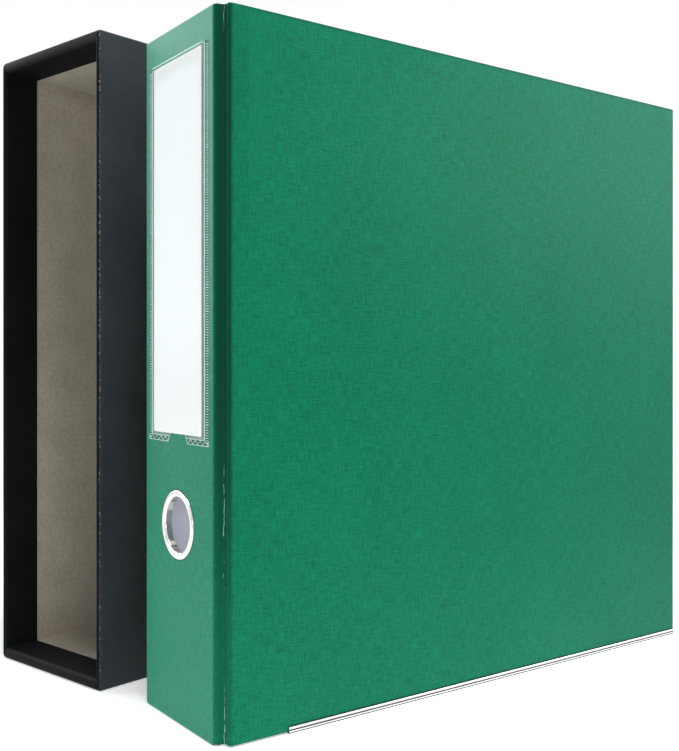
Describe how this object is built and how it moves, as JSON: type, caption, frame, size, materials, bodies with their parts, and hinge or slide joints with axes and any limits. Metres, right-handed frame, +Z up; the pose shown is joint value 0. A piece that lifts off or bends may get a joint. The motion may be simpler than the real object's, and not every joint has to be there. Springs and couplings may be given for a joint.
{
  "type": "stamp album",
  "caption": "Upright ring-bound stamp album in a hard grooved case with a finger ring and a spine label pocket, with punched leaves and an open-mouthed slipcase beside it.",
  "frame": {"origin": "middle of the spine's foot, on the surface that the album stands on", "axes": "+Z up, +Y from the spine to the fore-edge, front cover on the +X side"},
  "size_m": [0.2654, 0.3434, 0.3329],
  "materials": {
    "green_covering": "satin",
    "board": "matte",
    "pale_lining": "matte",
    "bright_nickel": "polished",
    "edge_metal": "satin",
    "clear_film": "gloss",
    "label_paper": "matte",
    "ring_steel": "polished",
    "leaf_card": "matte",
    "black_covering": "satin",
    "greyboard": "matte"
  },
  "bodies": {
    "back_cover": {"back_board": "board", "back_covering": "green_covering", "back_lining": "pale_lining", "back_edge_strip": "edge_metal", "ring_housing": "ring_steel", "housing_rivets": "ring_steel", "lever_pins": "ring_steel"},
    "spine": {"spine_board": "board", "spine_covering": "green_covering", "spine_lining": "pale_lining", "back_hinge": "green_covering", "front_hinge": "green_covering", "finger_ring": "bright_nickel", "finger_ring_washer": "bright_nickel", "label_pocket": "clear_film"},
    "front_cover": {"front_board": "board", "front_covering": "green_covering", "front_lining": "pale_lining", "front_edge_strip": "edge_metal"},
    "label": {"label_card": "label_paper"},
    "fore_rail": {"fore_blade": "ring_steel", "fore_ring_halves": "ring_steel"},
    "spine_rail": {"spine_blade": "ring_steel", "spine_ring_halves": "ring_steel"},
    "lower_lever": {"lower_lever": "ring_steel"},
    "upper_lever": {"upper_lever": "ring_steel"},
    "leaf_1": {"leaf_1": "leaf_card"},
    "leaf_2": {"leaf_2": "leaf_card"},
    "leaf_3": {"leaf_3": "leaf_card"},
    "leaf_4": {"leaf_4": "leaf_card"},
    "leaf_5": {"leaf_5": "leaf_card"},
    "leaf_6": {"leaf_6": "leaf_card"},
    "slipcase": {"slipcase_left_board": "greyboard", "slipcase_right_board": "greyboard", "slipcase_top_board": "greyboard", "slipcase_bottom_board": "greyboard", "slipcase_back_board": "greyboard", "slipcase_covering": "black_covering", "slipcase_turn_in": "black_covering"}
  },
  "joints": [
    {"name": "spine_hinge", "type": "hinge", "parent": "back_cover", "child": "spine", "pos_m": [-0.03788, 0.00115, 0.16], "axis": [0, 0, -1], "range_deg": [0, 90], "deforming": ["back_hinge"]},
    {"name": "front_cover_hinge", "type": "hinge", "parent": "spine", "child": "front_cover", "pos_m": [0.03788, 0.00115, 0.16], "axis": [0, 0, -1], "range_deg": [0, 180], "deforming": ["front_hinge"]},
    {"name": "label_slide", "type": "slide", "parent": "spine", "child": "label", "axis": [0, 0, 1], "range_m": [0, 0.18]},
    {"name": "ring_opening", "type": "hinge", "parent": "back_cover", "child": "fore_rail", "pos_m": [-0.0343, 0.0621, 0.16], "axis": [0, 0, 1], "range_deg": [0, 10]},
    {"name": "spine_rail_rock", "type": "hinge", "parent": "back_cover", "child": "spine_rail", "pos_m": [-0.0343, 0.0379, 0.16], "axis": [0, 0, -1], "range_deg": [0, 10]},
    {"name": "lower_lever_press", "type": "hinge", "parent": "back_cover", "child": "lower_lever", "pos_m": [-0.0341, 0.05, 0.0195], "axis": [0, 1, 0], "range_deg": [0, 36]},
    {"name": "upper_lever_press", "type": "hinge", "parent": "back_cover", "child": "upper_lever", "pos_m": [-0.0341, 0.05, 0.3005], "axis": [0, -1, 0], "range_deg": [0, 36]},
    {"name": "leaf_1_turn", "type": "hinge", "parent": "back_cover", "child": "leaf_1", "pos_m": [-0.00863, 0.05, 0.16], "axis": [0, 0, -1], "range_deg": [0, 15.1]},
    {"name": "leaf_2_turn", "type": "hinge", "parent": "back_cover", "child": "leaf_2", "pos_m": [-0.00863, 0.05, 0.16], "axis": [0, 0, -1], "range_deg": [0, 30.1]},
    {"name": "leaf_3_turn", "type": "hinge", "parent": "back_cover", "child": "leaf_3", "pos_m": [-0.00863, 0.05, 0.16], "axis": [0, 0, -1], "range_deg": [0, 45.1]},
    {"name": "leaf_4_turn", "type": "hinge", "parent": "back_cover", "child": "leaf_4", "pos_m": [-0.00863, 0.05, 0.16], "axis": [0, 0, -1], "range_deg": [0, 60.1]},
    {"name": "leaf_5_turn", "type": "hinge", "parent": "back_cover", "child": "leaf_5", "pos_m": [-0.00863, 0.05, 0.16], "axis": [0, 0, -1], "range_deg": [0, 75.1]},
    {"name": "leaf_6_turn", "type": "hinge", "parent": "back_cover", "child": "leaf_6", "pos_m": [-0.00863, 0.05, 0.16], "axis": [0, 0, -1], "range_deg": [0, 90.1]},
    {"name": "slipcase_slide", "type": "slide", "parent": "back_cover", "child": "slipcase", "axis": [-0.225, 0.9744, 0], "range_m": [0, 0.33]}
  ],
  "couplings": [
    {"joint": "spine_rail_rock", "follows": "ring_opening", "ratio": 1},
    {"joint": "lower_lever_press", "follows": "ring_opening", "ratio": 3.6},
    {"joint": "upper_lever_press", "follows": "ring_opening", "ratio": 3.6},
    {"joint": "leaf_1_turn", "follows": "front_cover_hinge", "ratio": 0.083333},
    {"joint": "leaf_2_turn", "follows": "front_cover_hinge", "ratio": 0.16667},
    {"joint": "leaf_3_turn", "follows": "front_cover_hinge", "ratio": 0.25},
    {"joint": "leaf_4_turn", "follows": "front_cover_hinge", "ratio": 0.33333},
    {"joint": "leaf_5_turn", "follows": "front_cover_hinge", "ratio": 0.41667},
    {"joint": "leaf_6_turn", "follows": "front_cover_hinge", "ratio": 0.5}
  ]
}
